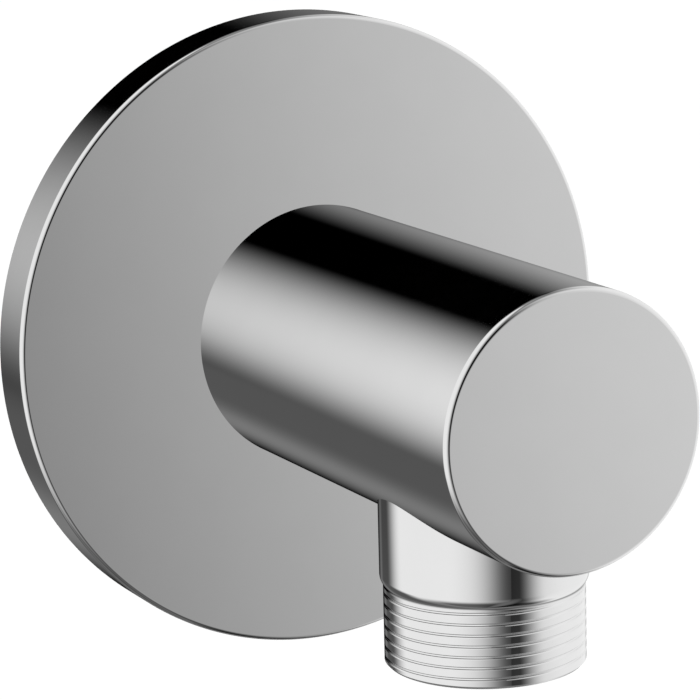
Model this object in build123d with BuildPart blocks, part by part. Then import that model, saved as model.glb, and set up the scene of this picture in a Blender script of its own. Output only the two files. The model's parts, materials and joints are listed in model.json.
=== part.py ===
from build123d import *
import os
from math import cos, radians, sin, tan

# Wall outlet elbow for a shower hose, in millimetres.
# The wall is the plane Y = 0, the room lies towards -Y and +Z is up.
# The origin is the point where the body's axis meets the wall.

# Escutcheon, the round plate on the wall
plate_diameter = 71.2
plate_depth = 6.4
plate_edge_fillet = 0.5
plate_face_thickness = 2.0
plate_rim_width = 2.4
plate_hub_wall = 3.4
plate_hub_setback = 1.2
plate_slip = 0.05
plate_back_chamfer = 0.2
plate_groove_width = 2.0
plate_groove_depth = 1.6

# Soft ring between the plate and the wall
wall_seal_width = 3.2
wall_seal_gap = 0.1

# Elbow body, a blind cylinder bored from its wall end
body_diameter = 28.9
body_projection = 62.35
body_front_fillet = 0.53
body_rear_gap = 1.0
body_rear_chamfer = 0.4
socket_depth = 29.0
socket_lead_in = 0.8
passage_diameter = 14.0
front_wall = 4.0
drill_point_angle = 118.0

# Outlet port across the underside of the body
outlet_reach = 43.6
port_diameter = 20.0
port_top_drop = 2.6
port_seat_drop = 9.0

# Nipple in the wall and the spigot that carries the body
pipe_thread_diameter = 20.955
wall_thread_length = 15.0
wall_thread_chamfer = 0.9
wall_thread_start = 1.0
wall_relief_length = 1.8
wall_relief_depth = 1.3
spigot_diameter = 20.0
spigot_clearance = 0.05
spigot_end_gap = 0.5
spigot_lead_in = 0.8
inlet_bore_diameter = 11.0
wall_key_across_flats = 12.0
wall_key_depth = 12.0
spigot_groove_width = 2.4
spigot_groove_depth = 1.5
front_ring_inset = 4.0
ring_spacing = 5.0

# Grub screw that locks the body to the spigot
lock_reach = 14.0
lock_diameter = 5.0
lock_key_across_flats = 2.5
lock_key_depth = 2.2
lock_point_diameter = 2.0
lock_head_recess = 0.5
lock_head_chamfer = 0.3
lock_groove_depth = 1.0
lock_groove_floor = 2.2
lock_seat_gap = 0.05

# Outlet nipple, its neck and its hose thread
neck_overhang = 0.36
neck_bottom_drop = 19.49
neck_round_angle = 49.0
neck_relief_depth = 0.14
outlet_end_drop = 27.91
hose_thread_chamfer = 0.3
nipple_top_gap = 0.4
nipple_top_chamfer = 0.4
nipple_bore_diameter = 11.6
outlet_groove_width = 1.6
outlet_groove_depth = 1.3
thread_clearance = 0.03
neck_clearance = 0.03

# Non-return valve pushed into the outlet nipple
valve_diameter = 14.0
valve_clearance = 0.05
valve_length = 15.5
valve_rim_diameter = 15.8
valve_rim_thickness = 1.2
valve_top_gap = 0.5
valve_groove_inset = 1.2
valve_groove_width = 1.5
valve_groove_depth = 1.05
throat_diameter = 7.6
seat_top_inset = 2.8
seat_height = 1.6
chamber_diameter = 11.8

# Guide spider at the valve's outlet end
guide_step = 0.2
guide_clearance = 0.03
guide_ring_height = 2.0
guide_ring_wall = 1.0
guide_end_inset = 1.3
guide_hub_diameter = 5.8
guide_hub_rise = 0.8
guide_arm_count = 3
guide_arm_width = 1.1

# Poppet, its seal and its spring
poppet_travel = 2.2
poppet_cap_diameter = 6.9
poppet_cap_height = 0.7
poppet_cap_fillet = 0.5
poppet_post_diameter = 6.0
poppet_flange_diameter = 9.4
poppet_flange_thickness = 1.0
poppet_boss_diameter = 3.4
poppet_stop_gap = 0.05
stem_diameter = 2.4
stem_clearance = 0.05
stem_end_chamfer = 0.3
stem_end_inset = 0.3
seal_section_diameter = 1.3
seal_seat_gap = 0.06
spring_mean_diameter = 4.6
spring_wire_diameter = 0.5
spring_turns = 5.5
spring_end_gap = 0.03

# Free play round every rubber ring in its groove
ring_gap = 0.03

# Radii that several pieces share
plate_radius = plate_diameter / 2
body_radius = body_diameter / 2
passage_radius = passage_diameter / 2
spigot_radius = spigot_diameter / 2
socket_radius = spigot_radius + spigot_clearance
pipe_thread_radius = pipe_thread_diameter / 2
port_radius = port_diameter / 2
neck_radius = pipe_thread_radius + neck_overhang
nipple_bore_radius = nipple_bore_diameter / 2
pocket_radius = valve_diameter / 2 + valve_clearance
rim_pocket_radius = valve_rim_diameter / 2 + valve_clearance
chamber_radius = chamber_diameter / 2
throat_radius = throat_diameter / 2
guide_seat_radius = chamber_radius + guide_step
stem_radius = stem_diameter / 2
wire_radius = spring_wire_diameter / 2

# Stations along the body's axis, towards the room
outlet_y = -outlet_reach
lock_y = -lock_reach
body_rear_y = -body_rear_gap
socket_bottom_y = body_rear_y - socket_depth
drill_tip_y = -body_projection + front_wall
drill_cone_height = passage_radius / tan(radians(drill_point_angle / 2))
passage_end_y = drill_tip_y + drill_cone_height
spigot_front_y = socket_bottom_y + spigot_end_gap
wall_end_y = wall_thread_start + wall_thread_length
front_ring_y = spigot_front_y + front_ring_inset
rear_ring_y = front_ring_y + ring_spacing

# Heights along the outlet's axis, below the body's axis
port_top_z = -port_top_drop
port_seat_z = -port_seat_drop
nipple_top_z = port_top_z - nipple_top_gap
outlet_end_z = -outlet_end_drop
neck_bottom_z = -neck_bottom_drop
valve_top_z = outlet_end_z + valve_length
pocket_top_z = valve_top_z + valve_top_gap
rim_seat_z = outlet_end_z + valve_rim_thickness
seat_top_z = valve_top_z - seat_top_inset
seat_bottom_z = seat_top_z - seat_height
guide_bottom_z = outlet_end_z + guide_end_inset
guide_ring_top_z = guide_bottom_z + guide_ring_height
guide_hub_top_z = guide_ring_top_z + guide_hub_rise

# The outlet's profiles are drawn in the upright plane through its axis
outlet_section = Plane(origin=(0, outlet_y, 0), x_dir=(1, 0, 0), z_dir=(0, -1, 0))
outlet_axis = Axis((0, outlet_y, 0), (0, 0, 1))


def across_body(y):
    """The plane across the body's axis at station y."""
    return Plane(origin=(0, y, 0), z_dir=(0, -1, 0))


def under_body(y):
    """The plane that touches the body's underside at station y and faces down."""
    return Plane(origin=(0, y, -body_radius), x_dir=(1, 0, 0), z_dir=(0, 0, -1))


def ring_between(inner_radius, outer_radius):
    """Major and minor radius of a rubber ring that lies between two cylinders."""
    section_radius = (outer_radius - inner_radius) / 2 - ring_gap
    return (inner_radius + outer_radius) / 2, section_radius


# Escutcheon: a turned disc with a recessed back and a hub round the body
hub_bore_radius = body_radius + plate_slip
hub_radius = hub_bore_radius + plate_hub_wall
plate_recess_y = -plate_depth + plate_face_thickness
hub_length = plate_depth - plate_hub_setback
hub_groove_y = -plate_depth + hub_length / 2
hub_groove_radius = hub_bore_radius + plate_groove_depth

with BuildPart() as escutcheon:
    with BuildSketch(Plane.XY):
        with BuildLine():
            Polyline(
                (hub_bore_radius, -plate_depth),
                (plate_radius, -plate_depth),
                (plate_radius, 0),
                (plate_radius - plate_rim_width, 0),
                (plate_radius - plate_rim_width, plate_recess_y),
                (hub_radius, plate_recess_y),
                (hub_radius, -plate_hub_setback),
                (hub_bore_radius, -plate_hub_setback),
                (hub_bore_radius, hub_groove_y + plate_groove_width / 2),
                (hub_groove_radius, hub_groove_y + plate_groove_width / 2),
                (hub_groove_radius, hub_groove_y - plate_groove_width / 2),
                (hub_bore_radius, hub_groove_y - plate_groove_width / 2),
                close=True,
            )
        make_face()
    revolve(axis=Axis.Y)
    plate_front = escutcheon.faces().sort_by(Axis.Y)[0]
    fillet(plate_front.edges().sort_by(SortBy.RADIUS)[-1], plate_edge_fillet)
    plate_back = escutcheon.faces().sort_by(Axis.Y)[-1]
    chamfer(plate_back.edges().sort_by(SortBy.RADIUS)[-1], plate_back_chamfer)

escutcheon.part.label = "escutcheon"

escutcheon_ring_major, escutcheon_ring_minor = ring_between(body_radius, hub_groove_radius)

with BuildPart(across_body(hub_groove_y)) as escutcheon_o_ring:
    Torus(escutcheon_ring_major, escutcheon_ring_minor)

escutcheon_o_ring.part.label = "escutcheon_o_ring"

# Soft ring that fills the corner of the plate's rim and meets the wall
wall_seal_radius = plate_radius - plate_rim_width - wall_seal_gap

with BuildPart() as wall_seal:
    with BuildSketch(across_body(0)):
        Circle(wall_seal_radius)
        Circle(wall_seal_radius - wall_seal_width, mode=Mode.SUBTRACT)
    extrude(amount=-plate_recess_y)

wall_seal.part.label = "wall_seal"

# Elbow body: turned outside, bored from the wall end, cross-bored from below
with BuildPart() as elbow_body:
    with BuildSketch(Plane.XY):
        with BuildLine():
            Polyline(
                (0, -body_projection),
                (body_radius, -body_projection),
                (body_radius, body_rear_y),
                (socket_radius, body_rear_y),
                (socket_radius, socket_bottom_y),
                (passage_radius, socket_bottom_y),
                (passage_radius, passage_end_y),
                (0, drill_tip_y),
                close=True,
            )
        make_face()
    revolve(axis=Axis.Y)
    fillet(elbow_body.faces().sort_by(Axis.Y)[0].edges(), body_front_fillet)
    rear_edges = elbow_body.faces().sort_by(Axis.Y)[-1].edges().sort_by(SortBy.RADIUS)
    chamfer(rear_edges[-1], body_rear_chamfer)
    chamfer(rear_edges[0], socket_lead_in)
    with Locations(under_body(outlet_y)):
        CounterBoreHole(
            radius=port_radius,
            counter_bore_radius=neck_radius + neck_clearance,
            counter_bore_depth=body_radius - port_seat_drop,
            depth=body_radius - port_top_drop,
        )
    with Locations(under_body(lock_y)):
        Hole(lock_diameter / 2, depth=body_radius - spigot_radius + lock_groove_depth)

elbow_body.part.label = "elbow_body"

# Wall nipple: pipe thread at its crest diameter, relief, and a spigot with grooves
wall_relief_radius = pipe_thread_radius - wall_relief_depth
wall_relief_end_y = wall_thread_start - wall_relief_length
ring_groove_radius = spigot_radius - spigot_groove_depth
lock_floor_radius = spigot_radius - lock_groove_depth
inlet_bore_radius = inlet_bore_diameter / 2

with BuildPart() as wall_nipple:
    with BuildSketch(Plane.XY):
        with BuildLine():
            Polyline(
                (inlet_bore_radius, wall_end_y),
                (pipe_thread_radius - wall_thread_chamfer, wall_end_y),
                (pipe_thread_radius, wall_end_y - wall_thread_chamfer),
                (pipe_thread_radius, wall_thread_start),
                (wall_relief_radius, wall_thread_start),
                (wall_relief_radius, wall_relief_end_y),
                (spigot_radius, wall_relief_end_y),
                (spigot_radius, spigot_front_y + spigot_lead_in),
                (spigot_radius - spigot_lead_in, spigot_front_y),
                (inlet_bore_radius, spigot_front_y),
                close=True,
            )
        make_face()
        with Locations((spigot_radius, front_ring_y), (spigot_radius, rear_ring_y)):
            Rectangle(2 * spigot_groove_depth, spigot_groove_width, mode=Mode.SUBTRACT)
        with BuildLine():
            Polyline(
                (spigot_radius, lock_y + lock_groove_floor / 2 + lock_groove_depth),
                (lock_floor_radius, lock_y + lock_groove_floor / 2),
                (lock_floor_radius, lock_y - lock_groove_floor / 2),
                (spigot_radius, lock_y - lock_groove_floor / 2 - lock_groove_depth),
                close=True,
            )
        make_face(mode=Mode.SUBTRACT)
    revolve(axis=Axis.Y)
    with BuildSketch(across_body(spigot_front_y)):
        RegularPolygon(wall_key_across_flats / 2, side_count=6, major_radius=False)
    extrude(amount=-wall_key_depth, mode=Mode.SUBTRACT)

wall_nipple.part.label = "wall_nipple"

spigot_ring_major, spigot_ring_minor = ring_between(ring_groove_radius, socket_radius)

with BuildPart(across_body(front_ring_y)) as spigot_o_ring_front:
    Torus(spigot_ring_major, spigot_ring_minor)

spigot_o_ring_front.part.label = "spigot_o_ring_front"

with BuildPart(across_body(rear_ring_y)) as spigot_o_ring_rear:
    Torus(spigot_ring_major, spigot_ring_minor)

spigot_o_ring_rear.part.label = "spigot_o_ring_rear"

# Grub screw: cone point in the spigot's groove, hexagon socket facing down
lock_radius = lock_diameter / 2 - thread_clearance
lock_point_radius = lock_point_diameter / 2
lock_point_z = -lock_floor_radius - lock_seat_gap
lock_cone_z = lock_point_z - (lock_radius - lock_point_radius)
lock_head_z = -body_radius + lock_head_recess

with BuildPart() as locking_screw:
    with BuildSketch(Plane(origin=(0, lock_y, 0), x_dir=(1, 0, 0), z_dir=(0, -1, 0))):
        with BuildLine():
            Polyline(
                (0, lock_point_z),
                (lock_point_radius, lock_point_z),
                (lock_radius, lock_cone_z),
                (lock_radius, lock_head_z + lock_head_chamfer),
                (lock_radius - lock_head_chamfer, lock_head_z),
                (0, lock_head_z),
                close=True,
            )
        make_face()
    revolve(axis=Axis((0, lock_y, 0), (0, 0, 1)))
    with BuildSketch(Plane(origin=(0, lock_y, lock_head_z), z_dir=(0, 0, -1))):
        RegularPolygon(lock_key_across_flats / 2, side_count=6, major_radius=False)
    extrude(amount=-lock_key_depth, mode=Mode.SUBTRACT)

locking_screw.part.label = "locking_screw"

# Outlet nipple: port thread, ring groove, rounded neck, relief and hose thread at its crest
nipple_thread_radius = port_radius - thread_clearance
outlet_groove_radius = nipple_thread_radius - outlet_groove_depth
neck_relief_radius = pipe_thread_radius - neck_relief_depth
neck_step = neck_radius - neck_relief_radius
neck_round_radius = neck_step / (1 - cos(radians(neck_round_angle)))
neck_round_top_z = neck_bottom_z + neck_round_radius * sin(radians(neck_round_angle))
hose_thread_top_z = neck_bottom_z - neck_relief_depth

with BuildPart() as outlet_nipple:
    with BuildSketch(outlet_section):
        with BuildLine():
            Polyline(
                (neck_relief_radius, neck_bottom_z),
                (pipe_thread_radius, hose_thread_top_z),
                (pipe_thread_radius, outlet_end_z + hose_thread_chamfer),
                (pipe_thread_radius - hose_thread_chamfer, outlet_end_z),
                (rim_pocket_radius, outlet_end_z),
                (rim_pocket_radius, rim_seat_z),
                (pocket_radius, rim_seat_z),
                (pocket_radius, pocket_top_z),
                (nipple_bore_radius, pocket_top_z),
                (nipple_bore_radius, nipple_top_z),
                (nipple_thread_radius - nipple_top_chamfer, nipple_top_z),
                (nipple_thread_radius, nipple_top_z - nipple_top_chamfer),
                (nipple_thread_radius, port_seat_z + outlet_groove_width),
                (outlet_groove_radius, port_seat_z + outlet_groove_width),
                (outlet_groove_radius, port_seat_z),
                (neck_radius, port_seat_z),
                (neck_radius, neck_round_top_z),
            )
            CenterArc(
                (neck_radius - neck_round_radius, neck_round_top_z),
                neck_round_radius,
                start_angle=0,
                arc_size=-neck_round_angle,
            )
        make_face()
    revolve(axis=outlet_axis)

outlet_nipple.part.label = "outlet_nipple"

outlet_ring_major, outlet_ring_minor = ring_between(outlet_groove_radius, port_radius)
outlet_ring_z = port_seat_z + outlet_groove_width / 2

with BuildPart(Plane(origin=(0, outlet_y, outlet_ring_z))) as outlet_o_ring:
    Torus(outlet_ring_major, outlet_ring_minor)

outlet_o_ring.part.label = "outlet_o_ring"

# Valve housing: rim under the hose washer, ring groove, throat, cone seat and chamber
valve_radius = valve_diameter / 2
valve_rim_radius = valve_rim_diameter / 2
valve_groove_top_z = valve_top_z - valve_groove_inset
valve_groove_bottom_z = valve_groove_top_z - valve_groove_width
valve_groove_radius = valve_radius - valve_groove_depth
seat_bottom_radius = throat_radius + seat_height

with BuildPart() as valve_housing:
    with BuildSketch(outlet_section):
        with BuildLine():
            Polyline(
                (throat_radius, valve_top_z),
                (valve_radius, valve_top_z),
                (valve_radius, valve_groove_top_z),
                (valve_groove_radius, valve_groove_top_z),
                (valve_groove_radius, valve_groove_bottom_z),
                (valve_radius, valve_groove_bottom_z),
                (valve_radius, rim_seat_z),
                (valve_rim_radius, rim_seat_z),
                (valve_rim_radius, outlet_end_z),
                (guide_seat_radius, outlet_end_z),
                (guide_seat_radius, guide_ring_top_z),
                (chamber_radius, guide_ring_top_z),
                (chamber_radius, seat_bottom_z),
                (seat_bottom_radius, seat_bottom_z),
                (throat_radius, seat_top_z),
                close=True,
            )
        make_face()
    revolve(axis=outlet_axis)

valve_housing.part.label = "valve_housing"

valve_ring_major, valve_ring_minor = ring_between(valve_groove_radius, pocket_radius)
valve_ring_z = valve_groove_top_z - valve_groove_width / 2

with BuildPart(Plane(origin=(0, outlet_y, valve_ring_z))) as valve_o_ring:
    Torus(valve_ring_major, valve_ring_minor)

valve_o_ring.part.label = "valve_o_ring"

# Guide: outer ring, three arms and a hub that the stem runs through
guide_ring_radius = guide_seat_radius - guide_clearance
guide_inner_radius = guide_ring_radius - guide_ring_wall
guide_hub_height = guide_hub_top_z - guide_bottom_z

with BuildPart() as valve_guide:
    with BuildSketch(Plane(origin=(0, outlet_y, guide_bottom_z))):
        Circle(guide_ring_radius)
        Circle(guide_inner_radius, mode=Mode.SUBTRACT)
        with PolarLocations(guide_ring_radius / 2, guide_arm_count):
            Rectangle(guide_ring_radius - guide_ring_wall / 2, guide_arm_width)
    extrude(amount=guide_ring_height)
    with BuildSketch(Plane(origin=(0, outlet_y, guide_bottom_z))):
        Circle(guide_hub_diameter / 2)
    extrude(amount=guide_hub_height)
    with Locations((0, outlet_y, guide_hub_top_z)):
        Hole(stem_radius + stem_clearance)

valve_guide.part.label = "valve_guide"

# Poppet: cap, post for the seal, flange, stop boss and stem.
# The seal's section lies a named gap off the 45 degree seat.
seal_section_radius = seal_section_diameter / 2
poppet_post_radius = poppet_post_diameter / 2
seal_major = poppet_post_radius + seal_section_radius + ring_gap
seat_offset = (seal_section_radius + seal_seat_gap) * 2**0.5
seal_z = seat_top_z - (seal_major - throat_radius) - seat_offset
seal_slot = seal_section_radius + ring_gap
flange_top_z = seal_z - seal_slot
flange_bottom_z = flange_top_z - poppet_flange_thickness
boss_bottom_z = guide_hub_top_z + poppet_travel + poppet_stop_gap
stem_end_z = outlet_end_z + stem_end_inset + poppet_travel

with BuildPart() as valve_poppet:
    with BuildSketch(outlet_section):
        with BuildLine():
            Polyline(
                (0, seal_z + seal_slot + poppet_cap_height),
                (poppet_cap_diameter / 2, seal_z + seal_slot + poppet_cap_height),
                (poppet_cap_diameter / 2, seal_z + seal_slot),
                (poppet_post_radius, seal_z + seal_slot),
                (poppet_post_radius, flange_top_z),
                (poppet_flange_diameter / 2, flange_top_z),
                (poppet_flange_diameter / 2, flange_bottom_z),
                (poppet_boss_diameter / 2, flange_bottom_z),
                (poppet_boss_diameter / 2, boss_bottom_z),
                (stem_radius, boss_bottom_z),
                (stem_radius, stem_end_z + stem_end_chamfer),
                (stem_radius - stem_end_chamfer, stem_end_z),
                (0, stem_end_z),
                close=True,
            )
        make_face()
    revolve(axis=outlet_axis)
    fillet(valve_poppet.faces().sort_by(Axis.Z)[-1].edges(), poppet_cap_fillet)

valve_poppet.part.label = "valve_poppet"

with BuildPart(Plane(origin=(0, outlet_y, seal_z))) as poppet_seal:
    Torus(seal_major, seal_section_radius)

poppet_seal.part.label = "poppet_seal"

# Spring: round wire on a helix from the guide's hub up to the poppet's flange
spring_radius = spring_mean_diameter / 2
spring_bottom_z = guide_hub_top_z + wire_radius + spring_end_gap
spring_top_z = flange_bottom_z - wire_radius - spring_end_gap
spring_height = spring_top_z - spring_bottom_z

with BuildPart() as valve_spring:
    with BuildLine() as coil:
        Helix(
            pitch=spring_height / spring_turns,
            height=spring_height,
            radius=spring_radius,
            center=(0, outlet_y, spring_bottom_z),
        )
    with BuildSketch(Plane(origin=coil.line @ 0, z_dir=coil.line % 0)):
        Circle(wire_radius)
    sweep(path=coil.line, is_frenet=True)

valve_spring.part.label = "valve_spring"

# One file per piece
pieces = [
    escutcheon,
    escutcheon_o_ring,
    wall_seal,
    elbow_body,
    wall_nipple,
    spigot_o_ring_front,
    spigot_o_ring_rear,
    locking_screw,
    outlet_nipple,
    outlet_o_ring,
    valve_housing,
    valve_o_ring,
    valve_guide,
    valve_poppet,
    poppet_seal,
    valve_spring,
]

os.makedirs("parts", exist_ok=True)
for piece in pieces:
    export_step(piece.part, f"parts/{piece.part.label}.step")
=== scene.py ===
import json
from math import ceil, cos, floor, hypot, pi, radians, sin, tan

import bpy
from mathutils import Matrix, Vector

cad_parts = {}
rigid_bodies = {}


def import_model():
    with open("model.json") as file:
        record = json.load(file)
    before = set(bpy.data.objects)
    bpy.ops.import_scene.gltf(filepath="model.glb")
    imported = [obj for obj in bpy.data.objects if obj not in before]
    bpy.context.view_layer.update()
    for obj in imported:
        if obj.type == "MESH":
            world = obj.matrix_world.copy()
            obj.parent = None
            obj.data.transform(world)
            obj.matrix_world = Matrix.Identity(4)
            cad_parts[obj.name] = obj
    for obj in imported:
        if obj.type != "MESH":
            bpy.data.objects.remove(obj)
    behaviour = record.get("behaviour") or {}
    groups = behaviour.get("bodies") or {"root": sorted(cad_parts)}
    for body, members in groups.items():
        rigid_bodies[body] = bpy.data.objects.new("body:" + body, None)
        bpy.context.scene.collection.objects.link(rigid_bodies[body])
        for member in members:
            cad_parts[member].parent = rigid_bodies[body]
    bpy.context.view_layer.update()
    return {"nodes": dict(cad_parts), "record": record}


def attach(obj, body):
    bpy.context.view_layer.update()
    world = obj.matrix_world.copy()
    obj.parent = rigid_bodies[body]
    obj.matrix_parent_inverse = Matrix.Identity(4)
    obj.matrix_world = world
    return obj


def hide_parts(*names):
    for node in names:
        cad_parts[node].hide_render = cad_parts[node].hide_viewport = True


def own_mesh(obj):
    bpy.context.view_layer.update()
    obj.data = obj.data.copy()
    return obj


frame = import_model()

# Lengths in millimetres, turned into metres by MM; angles in degrees
MM = 0.001
DEGREES = 180 / pi

# Camera, at the photograph's angle on the fitting
CAMERA_YAW = -26.76
CAMERA_PITCH = 12.368
CAMERA_ROLL = -1.425
CAMERA_TARGET = Vector((-6.993, -28.0, 2.823)) * MM
CAMERA_DISTANCE = 339.833 * MM
CAMERA_SENSOR = 36.0
CAMERA_LENS = 166.358
CAMERA_NEAREST = 10.0 * MM

# Floor, at its usual distance below the fitting, which is fixed to a wall
FLOOR_HEIGHT = -1100.0 * MM
FLOOR_HALF_WIDTH = 12.0
FLOOR_TONE = 0.9
FLOOR_GLOW = 0.12

# Studio that polished metal sees, in degrees: azimuth 0 is into the wall and 90 to the right,
# elevation 90 is straight up. A fade is its first and last angle, then its first and last level
# where they aren't 0 and 1.

# Left panel: its edge by the wall, which swings out low down, its soft end in the room, its foot
LEFT_START = 2.78
LEFT_START_WIDTH = 30.6
LEFT_SWING = 5.8
LEFT_SWING_FALL = 16.1
LEFT_SWING_LOWEST = -30.0
LEFT_END_FADES = ((110.0, 170.6), (132.2, 211.1))
LEFT_END_SHARES = (0.337, 0.663)
LEFT_LOW_FADE = (-57.9, -26.5, 0.126, 1.0)

# Right panel: its edge by the wall, shifted low down and high up, its leaning end, its foot and top
RIGHT_START_FADE = (18.4, 53.6)
RIGHT_SHIFT_LOWEST = -40.0
RIGHT_SHIFT_BELOW = -0.227
RIGHT_SHIFT_HEIGHT = 20.0
RIGHT_SHIFT_ABOVE = 0.189
RIGHT_LEAN = 0.606
RIGHT_UPRIGHT_AT = -9.5
RIGHT_LEANING_FADE = (141.7, 182.1)
RIGHT_END_FADE = (100.2, 185.5)
RIGHT_END_SHARES = (0.724, 0.276)
RIGHT_LOW_FADE = (-64.7, -46.0, 0.047, 1.0)
RIGHT_TOP_FADE = (39.1, 79.7, 1.0, 0.133)

# Dim card under the fitting, by the angle round the body's axis, and its upper edge
CARD_LEVEL = (248.8, 290.4, 0.104, 0.264)
CARD_END_FADE = (267.9, 322.9, 1.0, 0.0)
CARD_TOP_FADE = (-20.0, -8.0, 1.0, 0.0)

# Faint light low in the room, by the angle from the room's middle, and its upper edge
FILL_LEVEL = (1.9, 26.9, 0.159, 0.0)
FILL_TOP_FADE = (-24.8, -4.8, 1.0, 0.0)

# Dark patch in the room's middle: its spread across and upright, its height and its strength
DARK_SPREAD = (19.6, 35.5)
DARK_ELEVATION = 9.1
DARK_STRENGTH = 1.25

# Dim top, which is dimmer to the right
TOP_LEVEL = 0.426
TOP_TILT = 0.332
TOP_FADE = (41.6, 99.4)

# Escutcheon
PLATE_RADIUS = 35.6
PLATE_DEPTH = 6.4
PLATE_FILLET = 0.5
PLATE_FILLET_STEPS = 10
PLATE_BACK_CHAMFER = 0.2
RECESS_RADIUS = 33.2
PLATE_RECESS = -4.4
HUB_BORE_RADIUS = 14.46
HUB_RADIUS = 17.9
HUB_BACK = -1.2
HUB_GROOVE = -3.8
HUB_GROOVE_WIDTH = 2.0
HUB_GROOVE_RADIUS = 16.1

# Elbow body
BODY_RADIUS = 14.45
BODY_FRONT = -62.35
BODY_FILLET = 0.53
BODY_FILLET_STEPS = 12
BODY_REAR = -1.0
BODY_REAR_CHAMFER = 0.4
SOCKET_RADIUS = 10.05
SOCKET_LEAD_IN = 0.8
SOCKET_BOTTOM = -30.0
PASSAGE_RADIUS = 7.0
DRILL_TIP = -58.35
DRILL_POINT_ANGLE = 118.0
OUTLET_REACH = 43.6
PORT_RADIUS = 10.0
PORT_TOP = -2.6
PORT_SEAT = -9.0
NECK_SEAT_RADIUS = 10.84
LOCK_REACH = 14.0
LOCK_RADIUS = 2.5
LOCK_TOP = -9.0
CUTTER_BOTTOM = -20.0

# Wall nipple
THREAD_RADIUS = 10.4775
WALL_THREAD_START = 1.0
WALL_THREAD_END = 16.0
WALL_THREAD_CHAMFER = 0.9
WALL_THREAD_PITCH = 1.814
WALL_THREAD_DEPTH = 1.162
WALL_RELIEF_RADIUS = 9.1775
WALL_RELIEF_END = -0.8
SPIGOT_RADIUS = 10.0
SPIGOT_FRONT = -29.5
SPIGOT_LEAD_IN = 0.8
SPIGOT_GROOVE_RADIUS = 8.5
SPIGOT_GROOVE_WIDTH = 2.4
SPIGOT_GROOVES = (-25.5, -20.5)
LOCK_FLOOR_RADIUS = 9.0
LOCK_FLOOR_WIDTH = 2.2
INLET_RADIUS = 5.5
KEY_HALF_WIDTH = 6.0
KEY_BOTTOM = -17.5

# Outlet nipple
NECK_RADIUS = 10.8375
NECK_BOTTOM = -19.49
NECK_ROUND_ANGLE = 49.0
NECK_ROUND_STEPS = 14
NECK_RELIEF_DEPTH = 0.14
OUTLET_END = -27.91
OUTLET_CHAMFER = 0.3
NIPPLE_THREAD_RADIUS = 9.97
NIPPLE_TOP = -3.0
NIPPLE_TOP_CHAMFER = 0.4
NIPPLE_BORE_RADIUS = 5.8
OUTLET_GROOVE_RADIUS = 8.67
OUTLET_GROOVE_TOP = -7.4
POCKET_RADIUS = 7.05
POCKET_TOP = -11.91
RIM_POCKET_RADIUS = 7.95
RIM_SEAT = -26.71

# Hose thread as the photograph shows it: fine grooves between broad crests. A groove has two lines,
# each with its place, half width and depth, and runs out over the fade at both ends of the thread
HOSE_GROOVE_PITCH = 1.138
HOSE_GROOVE_LINES = ((0.11, 0.109, 0.105), (-0.11, 0.109, 0.07))
HOSE_GROOVE_ROUNDING = 0.15
HOSE_GROOVE_HEIGHT = -20.03
HOSE_GROOVE_ANGLE = 241.0
HOSE_GROOVE_FADE = 0.25

# Valve spring, between the guide's hub and the poppet's flange
SPRING_RADIUS = 2.3
WIRE_RADIUS = 0.25
SPRING_TURNS = 5.5
SPRING_BOTTOM = -23.53
SPRING_TOP = -18.055

# Facets: steps of a full turn, an odd count for the cutters, so that no corner of a cut lies on an
# edge of the body, the steps of the wall thread's wave and of the spring's turns and wire, and the
# least angle of a sharp edge
TURN_STEPS = 288
CUTTER_STEPS = 191
WALL_THREAD_STEPS = 10
SPRING_TURN_STEPS = 36
WIRE_STEPS = 20
SHARP_ANGLE = 30.0

# Points are told apart to this many parts of a millimetre; a face this close to a surface lies on it
POINT_GRID = 1e5
ON_SURFACE = 0.002

# Colours, each pair from the low end of its noise to the high end
CHROME = ((0.785, 0.785, 0.785), (0.795, 0.795, 0.795))
DULL_CHROME = ((0.50, 0.49, 0.47), (0.64, 0.63, 0.61))
# painted shade in the chrome water ways, where light would not reach
WATER_WAY_PAINTED_SHADE = ((0.05, 0.045, 0.035), (0.10, 0.09, 0.07))
# painted shade for the groove at the foot of the outlet's neck, and its share
PAINTED_GROOVE_SHADE = (0.06, 0.06, 0.06, 1)
PAINTED_GROOVE_SHADE_SHARE = 0.7
BRASS = ((0.66, 0.50, 0.24), (0.80, 0.64, 0.34))
# oxide with painted shade, for the brass water way
TARNISH_AND_PAINTED_SHADE = (0.05, 0.035, 0.018, 1)
RUBBER = ((0.018, 0.018, 0.019), (0.040, 0.040, 0.041))
FOAM = ((0.20, 0.20, 0.21), (0.09, 0.09, 0.10))
STEEL = (0.60, 0.60, 0.61)
SPRING_WIRE = (0.58, 0.58, 0.60)
STREAK_SHADE = 0.82
NATURAL_ACETAL = ((0.80, 0.80, 0.77), (0.86, 0.86, 0.84))
GREY_ACETAL = ((0.48, 0.50, 0.53), (0.55, 0.57, 0.60))

# A noise lies mostly between these
NOISE_RANGE = (0.3, 0.7)

# How far the places of dull metal or painted shade reach past the surfaces that they cover, and where those
# of the body start behind its front
MASK_MARGIN = 0.1
FINE_MARGIN = 0.01
BORE_MARGIN = 0.05
BODY_MASK_START = 2.0

# Oxide and painted shade in the brass water way: the radius that holds the key's corners, and the depth over
# which its share grows
KEY_CORNER_RADIUS = 7.0
TARNISH_SHADE_DEPTH = 12.0
TARNISH_SHADE_SHARES = (0.6, 0.97)


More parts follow.
